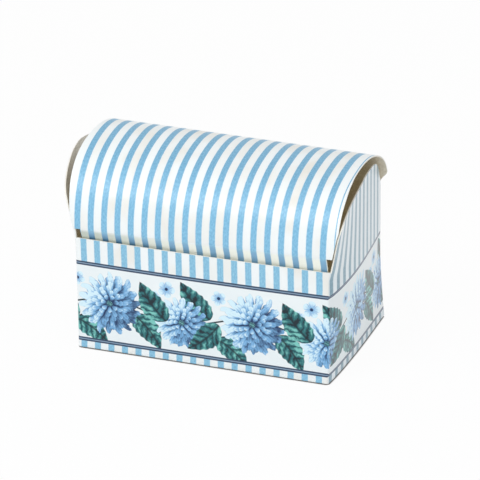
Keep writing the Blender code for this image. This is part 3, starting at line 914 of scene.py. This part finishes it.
def draw_place(u, v, centre_u, centre_v):
    """Distances from a motif's centre, with the border repeating, and a chance for each repeat."""
    away = u - centre_u
    count = ((away + BORDER_REPEAT / 2) / BORDER_REPEAT).math("FLOOR")
    return away - count * BORDER_REPEAT, v - centre_v, chance_of(count * 7.31 + centre_u)


def flat_place(across, up):
    return term(across.tree, "ShaderNodeCombineXYZ", (across, up))


def polar(across, up, wobble):
    """Distance and angle, in turns, a little uneven, as a brush leaves them."""
    place = flat_place(across, up)
    uneven = noise(place, 0.35) - 0.5
    distance = (across**2.0 + up**2.0).math("SQRT") * uneven.times_plus(wobble, 1.0)
    angle = up.math("ARCTAN2", across) / math.tau
    return distance, angle + uneven * 0.04, place


def draw_petals(distance, angle, reach, petals, turn):
    """One ring of petals: where it is, and how light it is there, from 0 at the base to 1 at a tip."""
    beside = abs(angle.times_plus(petals, turn).math("FRACT") - 0.5)
    out = distance / reach
    tip = (out.at_least(PETAL_STRAIGHT) - PETAL_STRAIGHT) / (1 - PETAL_STRAIGHT)
    width = (1.0 - tip**2.2).at_least(0.0).math("SQRT") * 0.5
    light = ((beside * 2.0) ** 2.5).times_plus(-0.95, 1.0)
    light = light * beside.rising(0.0, 0.07).times_plus(0.25, 0.75)
    return (width - beside).rising(0.0, 0.05), light.math("MULTIPLY", out**1.3, clamp=True)


def draw_aster(u, v, centre_u, centre_v, size):
    across, up, chance = draw_place(u, v, centre_u, centre_v)
    distance, angle, place = polar(across, up, 0.35)
    angle = angle + chance
    from_left = (up * 0.6 - across) / size
    tone = noise(place, 0.25, 3.0).times_plus(1.3, chance.times_plus(0.2, 0.05))
    tone = from_left.times_plus(0.42, tone)
    result, mask = PETAL_DEEP, 0.0
    for reach, petals, turn in ASTER_RINGS:
        ring = use(
            PETALS, Distance=distance, Angle=angle, Turn=turn, Petals=float(petals), Reach=size * reach
        )
        light = ring["Shade"].math("MULTIPLY", tone, clamp=True)
        low = paint(light.rising(0.12, 0.46), PETAL_DEEP, PETAL_MIDDLE)
        result = paint(ring["Mask"], result, paint(light.rising(0.4, 0.76), low, PETAL_PALE))
        mask = ring["Mask"].at_least(mask)
    dots = paint(noise(place, 3.0).rising(0.45, 0.6), PETAL_DEEP, LEAF_PALE)
    return paint(distance.falling(0.7, 1.3), result, dots), mask


def draw_small_flower(u, v, centre_u, centre_v, size):
    across, up, chance = draw_place(u, v, centre_u, centre_v)
    distance, angle, place = polar(across, up, 0.2)
    ring = use(PETALS, Distance=distance, Angle=angle + chance, Petals=5.0, Reach=size, Turn=0.0)
    light = noise(place, 1.2).times_plus(0.5, ring["Shade"])
    petal = paint(light.rising(0.25, 0.95), PETAL_MIDDLE, PETAL_PALE)
    heart = distance.falling(0.45, 0.75)
    return paint(heart, petal, PETAL_DEEP), ring["Mask"].at_least(heart)


def draw_leaf(u, v, centre_u, centre_v, size, lean):
    """A bent, toothed leaf with a rib and veins, from its stalk at the centre to its tip."""
    across, up, chance = draw_place(u, v, centre_u, centre_v)
    place = flat_place(across, up)
    lean = lean + chance.times_plus(0.3, -0.15)
    cosine, sine = lean.math("COSINE"), lean.math("SINE")
    along = (across * cosine + up * sine) / size
    beside = (up * cosine - across * sine) / (size * 0.3)
    apart = abs(((along - 0.5) * (along - 0.5)).times_plus(0.9, beside - 0.1))
    outline = along.at_least(0.0) * (1.0 - along).at_least(0.0) ** 1.7
    teeth = (along * 14.0).math("PINGPONG", 1.0).times_plus(0.1, 0.9)
    mask = ((outline * 5.7) ** 0.58 * teeth - apart).rising(0.0, 0.08)
    vein = noise(place, 0.45, 3.0).times_plus(1.6, along * 6.0 - apart * 1.5)
    vein = abs(vein.math("FRACT") - 0.5)
    lines = vein.falling(0.0, 0.13).at_least(apart.falling(0.03, 0.12)) * 0.8
    light = noise(place, 0.2, 3.0).times_plus(2.0, apart.times_plus(0.3, -0.82)) + vein * 0.9
    low = paint(light.rising(0.1, 0.5), LEAF_DEEP, LEAF_MIDDLE)
    green = paint(light.rising(0.5, 0.95), low, LEAF_PALE)
    return paint(lines, green, LEAF_DEEP), mask


PETALS = motif(
    "Ring of petals", ("Distance", "Angle", "Reach", "Petals", "Turn"),
    {"Mask": "NodeSocketFloat", "Shade": "NodeSocketFloat"}, draw_petals,
)
PLACE_IN = ("U", "V", "Centre U", "Centre V", "Size")
ASTER = motif("Aster", PLACE_IN, COLOUR_OUT, draw_aster)
SMALL_FLOWER = motif("Small flower", PLACE_IN, COLOUR_OUT, draw_small_flower)
LEAF = motif("Leaf", (*PLACE_IN, "Lean"), COLOUR_OUT, draw_leaf)
print("border motifs:", ", ".join(g.name for g in (ASTER, SMALL_FLOWER, LEAF)))

# %% The border: a vine with leaves and flowers, repeated round the box
VINE_MIDDLE = 18.0
VINE_SWING = 2.6
LEAVES_BEHIND = ((22.0, 16.5, 16.0, -0.85), (49.0, 18.0, 17.0, 2.3), (0.0, 12.0, 15.0, -0.6))
ASTERS = ((39.0, 15.6, 9.8), (12.5, 18.8, 11.8))
SMALL_FLOWERS = ((33.5, 27.6, 3.2), (29.0, 24.0, 2.5), (52.5, 27.0, 2.8))
LEAVES_BEFORE = ((33.0, 15.0, 17.0, 2.3), (53.0, 16.5, 16.0, -2.35))
print(f"border: {len(ASTERS)} asters, {len(SMALL_FLOWERS)} small flowers in each {BORDER_REPEAT:.0f} mm")


def draw_border(u, v, place):
    """The colour of the border at a place of the flat sheet."""
    ground = paint(noise(place, 0.12), BAND_GROUND, PAPER_WHITE)
    swing = (u * (math.tau / BORDER_REPEAT)).math("SINE") * VINE_SWING
    result = paint(abs(v - (swing + VINE_MIDDLE)).falling(0.22, 0.38), ground, LEAF_DEEP)
    layers = ((LEAF, LEAVES_BEHIND), (ASTER, ASTERS), (SMALL_FLOWER, SMALL_FLOWERS), (LEAF, LEAVES_BEFORE))
    for group, places in layers:
        for centre_u, centre_v, size, *lean in places:
            turned = {"Lean": lean[0]} if lean else {}
            drawn = use(group, U=u, V=v, Centre_U=centre_u, Centre_V=centre_v, Size=size, **turned)
            result = paint(drawn["Mask"], result, drawn["Colour"])
    return result


# %% [markdown]
# Stripes printed on card aren't perfectly even: the ink is mottled, the edges are soft, and the white
# between them is now warmer, now cooler. A varnish gives the walls a satin gloss, which shows as a pale
# veil where the side wall is seen at a low angle. All lengths here are millimetres on the flat sheet.

# %% Stripes, rules and the finish of the printed face
STRIPE_PITCH = 5.0
STRIPE_SHARE = 0.445
STRIPE_SOFTNESS = 0.03
LID_STRIPE_PITCH = 4.90
WALL_FIRST_STRIPE = 3.3
LID_FIRST_STRIPE = 1.45
LID_PRINTED = (-1.6, 93.85)
PRINT_EDGE = 0.05
UPPER_RULE = 32.8
LOWER_RULE = 3.65
RULE_HALF_HEIGHT = 0.75
RULE_LINE = 0.58
RULE_SOFTNESS = 0.08
FINE_RULE_LESS = 0.27
FINE_GAP_LESS = 0.09
RIGHT_WALL_FROM = (91.3, 91.9)
RIGHT_WALL_TO = (148.0, 148.6)
FOOT_SHADOW_HEIGHT = -0.2
BARE_BELOW = (-2.2, -2.0)
CROWN_TO_FRONT = (50.0, 66.0)
TUCK_LEFT_PART = (0.0, 45.0)


def draw_stripes(
    u, place, pitch, first, whites=(PAPER_WHITE, PAPER_CREAM), blues=(STRIPE_DEEP, STRIPE_BLUE)
):
    """Blue stripes on white. first is the middle of one stripe."""
    waver = noise(place, 0.8).times_plus(0.16, -0.08)
    count = (u + waver - first) / pitch
    away = abs((count + 0.5).math("FRACT") - 0.5)
    blue = away.falling(STRIPE_SHARE / 2 - STRIPE_SOFTNESS, STRIPE_SHARE / 2 + STRIPE_SOFTNESS)
    ink = paint(noise(place, 2.2, 4.0, (1.0, 0.45, 1.0)).rising(0.3, 0.75), *blues)
    drift = chance_of(count.math("FLOOR")) * noise(place, 0.06).rising(0.35, 0.65)
    return paint(blue, paint(drift, *whites), ink)


def draw_rule(v, middle, under, fine):
    """A double rule: two dark lines with a paler one between them. Where fine is 1 both are finer."""
    away = abs(v - middle)
    whole = away - fine.times_plus(-FINE_RULE_LESS, RULE_HALF_HEIGHT)
    line = away - fine.times_plus(-FINE_GAP_LESS, RULE_HALF_HEIGHT - RULE_LINE)
    lines = paint(line.rising(-RULE_SOFTNESS, RULE_SOFTNESS), RULE_GAP, RULE_NAVY)
    return paint(whole.falling(-RULE_SOFTNESS, RULE_SOFTNESS), under, lines)


# %% The finish of one side of the board
def card(name, base, place, roughness, fibre, varnish=0.0, specular=0.5):
    """The satin or matt finish of one side of the board, over a colour."""
    made = bpy.data.materials.new(name)
    made.use_nodes = True
    tree = made.node_tree
    if place == "flat":
        flat = term(tree, "ShaderNodeUVMap", uv_map="UVMap")
    else:
        turned = term(tree, "ShaderNodeTexCoord", output="Object")
        flat = term(tree, "ShaderNodeVectorMath", {0: turned, "Scale": 1 / MM}, operation="SCALE")
    low, high = roughness
    uneven = {"Value": noise(flat, 0.7, 3.0), "To Min": low, "To Max": high}
    grain = {"Height": noise(flat, 6.0, 3.0, (1.0, 0.6, 1.0)), "Strength": fibre, "Distance": 0.05 * MM}
    values = {
        "Base Color": base(flat),
        "Roughness": term(tree, "ShaderNodeMapRange", uneven),
        "Normal": term(tree, "ShaderNodeBump", grain),
        "Specular IOR Level": specular,
        "Coat Weight": varnish,
        "Coat Roughness": 0.3,
        "Coat IOR": 1.3,
    }
    for key, value in values.items():
        wire(tree, tree.nodes["Principled BSDF"].inputs[key], value)
    return made


# %% The colours of the sheets, and their finishes
def wall_colour(flat):
    """The walls, unrolled. The right one is painted darker and greyer as shade, and its rules are finer.
    """
    u, v, _ = flat.split()
    # Painted shade: on the right wall, turned from the light, whites and blues are darker and greyer.
    shaded_right_wall = u.rising(*RIGHT_WALL_FROM) - u.rising(*RIGHT_WALL_TO)
    blues = [paint(shaded_right_wall, a, b) for a, b in zip((STRIPE_DEEP, STRIPE_BLUE), RIGHT_WALL_SHADED_BLUES)]
    whites = [paint(shaded_right_wall, a, b) for a, b in zip((PAPER_WHITE, PAPER_CREAM), RIGHT_WALL_SHADED_WHITES)]
    stripes = draw_stripes(u, flat, STRIPE_PITCH, WALL_FIRST_STRIPE, whites, blues)
    between = v.rising(LOWER_RULE, LOWER_RULE + 0.1) * v.falling(UPPER_RULE - 0.1, UPPER_RULE)
    result = paint(between, stripes, draw_border(u, v, flat))
    for middle in (UPPER_RULE, LOWER_RULE):
        result = draw_rule(v, middle, result, shaded_right_wall)
    # Painted shade: a dark line round the fold at the foot, as contact shadow, weaker on the right wall.
    foot = abs(v - FOOT_SHADOW_HEIGHT).falling(0.3, 0.5) * shaded_right_wall.times_plus(-0.6, 0.9)
    return paint(v.rising(*BARE_BELOW), PAPER_WHITE, paint(foot, result, FOOT_SHADOW))


def lid_colour(flat):
    """The blue is a little deeper on the crown than towards the front crease."""
    u, v, _ = flat.split()
    forward = v.rising(*CROWN_TO_FRONT)
    blues = [paint(forward, a, b) for a, b in zip(CROWN_BLUES, LID_FRONT_BLUES)]
    stripes = draw_stripes(u, flat, LID_STRIPE_PITCH, LID_FIRST_STRIPE, blues=blues)
    begun, ended = [u.rising(at - PRINT_EDGE, at + PRINT_EDGE) for at in LID_PRINTED]
    return paint(ended, paint(begun, PAPER_WHITE, stripes), PAPER_WHITE)


def tuck_colour_and_shade(flat):
    """Painted shade and bounce light on the strip below the crease: cream whites and darker blues."""
    u, v, _ = flat.split()
    # Painted shade, faded out lower down: greyer on the left, lighter under the crease, darker at the
    # wall.
    painted_shade = v.rising(-0.5, 1.5) - v.rising(4.5, 9.0)
    right = u.rising(*TUCK_LEFT_PART)
    cream = paint(right, colour("C8D1C5"), colour("FCFFF4"))
    deep = paint(v.rising(0.3, 4.5), colour("80B4D8"), paint(right, colour("3D6F94"), colour("7DACCE")))
    lines = (u, flat, LID_STRIPE_PITCH, LID_FIRST_STRIPE)
    return paint(painted_shade, draw_stripes(*lines), draw_stripes(*lines, (cream, cream), (deep, deep)))


def inside_colour(flat):
    """Grey board with painted warm shade inside the box; where the left gable leans into the light,
    greyer.
    """
    fibres = noise(flat, 1.8, 5.0, (1.0, 0.35, 1.0)).rising(0.3, 0.7)
    # Painted shade: away from the leaning left gable the board gets warmer colours, as of light bounced
    # inside.
    painted_warm_shade = flat.split()[0].rising(-50.0, -44.0)
    low = paint(painted_warm_shade, colour("D6D4CC"), colour("DDD5C0"))
    return paint(fibres, low, paint(painted_warm_shade, colour("EAE9E2"), colour("F0E9D8")))


def edge_colour(flat):
    return paint(noise(flat, 3.0, 3.0), colour("E6E2D6"), colour("F9F7F0"))


WALL_PRINT = card("Printed walls", wall_colour, "flat", (0.32, 0.42), 0.12, varnish=1.0, specular=0.2)
LID_PRINT = card("Printed lid", lid_colour, "flat", (0.30, 0.40), 0.12)
TUCK_PRINT_AND_SHADE = card("Printed tuck flap, painted shade", tuck_colour_and_shade, "flat", (0.35, 0.45), 0.15)
PLAIN_SIDE = card("Plain side of the board", inside_colour, "object", (0.7, 0.85), 0.5)
CUT_EDGE = card("Cut edge of the board", edge_colour, "object", (0.75, 0.9), 0.5)

# Painted light: a faint warm glow on the plain side stands in for daylight through the thin board.
glow = PLAIN_SIDE.node_tree.nodes["Principled BSDF"]
glow.inputs["Emission Color"].default_value = colour("E6D2A4")
glow.inputs["Emission Strength"].default_value = 0.03
print("finishes:", ", ".join(m.name for m in (WALL_PRINT, LID_PRINT, TUCK_PRINT_AND_SHADE, PLAIN_SIDE, CUT_EDGE)))

# %% [markdown]
# Now the pieces. Each face gets its board and becomes a plain mesh. The sleeve with the bottom rides on
# the box. The lid's sheet starts on the back wall, and the tuck flap's sheet at the front crease.

# %% Make the three sheets
LID_ROWS = 200
TUCK_ROWS = 60
SHEET_COLUMNS = 66
SHARP_FROM = math.radians(50)


def finish_piece(name, face, printed):
    """A closed board from a printed face, smooth except at its cut edges."""
    sides = {"Print": printed, "Plain_side": PLAIN_SIDE, "Cut_edge": CUT_EDGE}
    mesh = run_tree(name, face, board, Thickness=BOARD, **sides)
    made = in_scene(name, mesh)
    mesh.shade_smooth()
    mesh.set_sharp_from_angle(angle=SHARP_FROM)
    loose = sum(edge.is_loose for edge in mesh.edges)
    print(f"{name}: {len(mesh.polygons)} faces, {loose} loose edges")
    return made


def path_face(name, rows, row_count, printed):
    values = {"Rows": row_count, "Columns": SHEET_COLUMNS, "Material": printed}
    values |= {"Print_skew": PRINT_SKEW, "Print_stretch": PRINT_STRETCH}
    return run_tree(name + "_face", path_mesh(name + "_path", rows), along_path, **values)


box_sheet = finish_piece("box_sheet", box_face.mesh("box_face"), WALL_PRINT)
lid_sheet = finish_piece("lid_sheet", path_face("lid", lid_rows, LID_ROWS, LID_PRINT), LID_PRINT)
tuck_sheet = finish_piece("tuck_sheet", path_face("tuck", tuck_rows, TUCK_ROWS, TUCK_PRINT_AND_SHADE), TUCK_PRINT_AND_SHADE)

# %% Join the box's sheet to its body, and hide the model's own panels
LID_NODES = ("lid_dome", "lid_front_fold", "lid_hinge_fold")

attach(box_sheet, "box")
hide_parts(*[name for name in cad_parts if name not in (*LID_NODES, "tuck_flap")])

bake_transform(lid_sheet)
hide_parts(*LID_NODES)

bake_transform(tuck_sheet)
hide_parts("tuck_flap")

# %% [markdown]
# The photo is a cut-out on white: a long lens from the front, 20 degrees to the right and 25 above, with
# soft light from the front and above. The floor is white to the camera. It keeps a faint shadow, and a
# painted contact shadow darkens it only where the box stands on it, within about a millimetre.

# %% Camera
LENS = 225.0
SENSOR_WIDTH = 36.0
CAMERA_DISTANCE = 1048.6 * MM
CAMERA_AZIMUTH = math.radians(20.59)
CAMERA_ELEVATION = math.radians(24.90)
CAMERA_ROLL = math.radians(-1.06)
CAMERA_TARGET = Vector((-0.42 * MM, 11.45 * MM, 30.0 * MM))


def make_camera():
    data = bpy.data.cameras.new("camera")
    data.lens = LENS
    data.sensor_width = SENSOR_WIDTH
    data.clip_start = 10 * MM
    made = in_scene("camera", data)
    turn = Matrix.Rotation(CAMERA_AZIMUTH, 4, "Z")
    turn @= Matrix.Rotation(math.pi / 2 - CAMERA_ELEVATION, 4, "X")
    turn @= Matrix.Rotation(CAMERA_ROLL, 4, "Z")
    back = Matrix.Translation((0.0, 0.0, CAMERA_DISTANCE))
    made.matrix_world = Matrix.Translation(CAMERA_TARGET) @ turn @ back
    return made


bpy.context.scene.camera = make_camera()
print(f"camera: a {LENS:.0f} mm lens, {CAMERA_DISTANCE:.2f} m from the box")

# %% Floor, light and background
WHITE = (1.0, 1.0, 1.0, 1.0)
FLOOR_SIZE = 6.0
FLOOR_GREY = (0.86, 0.86, 0.86, 1.0)
FLOOR_GLOW = 0.95
CONTACT_REACH = 1.2 * MM
CONTACT_OPEN = (0.42, 0.72)
CONTACT_SHADOW = (0.12, 0.115, 0.11, 1.0)
LIGHT_AIM = Vector((0.0, 0.0, 30 * MM))
SKY_LIGHT = 0.6


def floor_material():
    """White to the camera, apart from the shadow on it and a painted contact shadow where the box stands.
    """
    made = bpy.data.materials.new("Floor")
    made.use_nodes = True
    tree = made.node_tree
    shader = tree.nodes["Principled BSDF"]
    shader.inputs["Base Color"].default_value = FLOOR_GREY
    shader.inputs["Roughness"].default_value = 0.9
    # Painted shade: ambient occlusion darkens the floor's glow within about a millimetre of the box.
    open_share = term(tree, "ShaderNodeAmbientOcclusion", {"Distance": CONTACT_REACH}, output="AO")
    ground = paint(open_share.rising(*CONTACT_OPEN), CONTACT_SHADOW, WHITE)
    glow = add(tree, "ShaderNodeEmission", (ground, 1.0))
    path = add(tree, "ShaderNodeLightPath").outputs
    seen = Term(tree, path["Is Camera Ray"]).at_least(path["Is Glossy Ray"]) * FLOOR_GLOW
    mixed = add(tree, "ShaderNodeMixShader", (seen, shader.outputs[0], glow.outputs[0]))
    wire(tree, tree.nodes["Material Output"].inputs["Surface"], mixed.outputs[0])
    return made


bpy.ops.mesh.primitive_plane_add(size=FLOOR_SIZE)
floor = bpy.context.object
floor.name = "floor"
floor.data.materials.append(floor_material())


def soft_light(name, place, size, power, tint=WHITE):
    data = bpy.data.lights.new(name, "AREA")
    data.color = tint[:3]
    data.shape = "DISK"
    data.size = size
    data.energy = power
    made = in_scene(name, data)
    made.location = place
    made.rotation_euler = (Vector(place) - LIGHT_AIM).to_track_quat("Z", "Y").to_euler()


soft_light("key", place=(-0.42, -0.80, 0.97), size=0.65, power=5.5)
soft_light("top", place=(0.0, -0.1, 1.1), size=0.6, power=1.55)
soft_light("fill", place=(0.74, -0.68, 0.22), size=0.7, power=1.25, tint=colour("EAF6FF"))

world = bpy.data.worlds.new("studio")
bpy.context.scene.world = world
world.use_nodes = True
sky = world.node_tree.nodes["Background"]
sky.inputs["Color"].default_value = WHITE
seen = add(world.node_tree, "ShaderNodeLightPath").outputs["Is Camera Ray"]
values = {"Value": seen, "To Min": SKY_LIGHT, "To Max": 1.0}
wire(world.node_tree, sky.inputs["Strength"], term(world.node_tree, "ShaderNodeMapRange", values))
bpy.context.scene.view_settings.view_transform = "Standard"
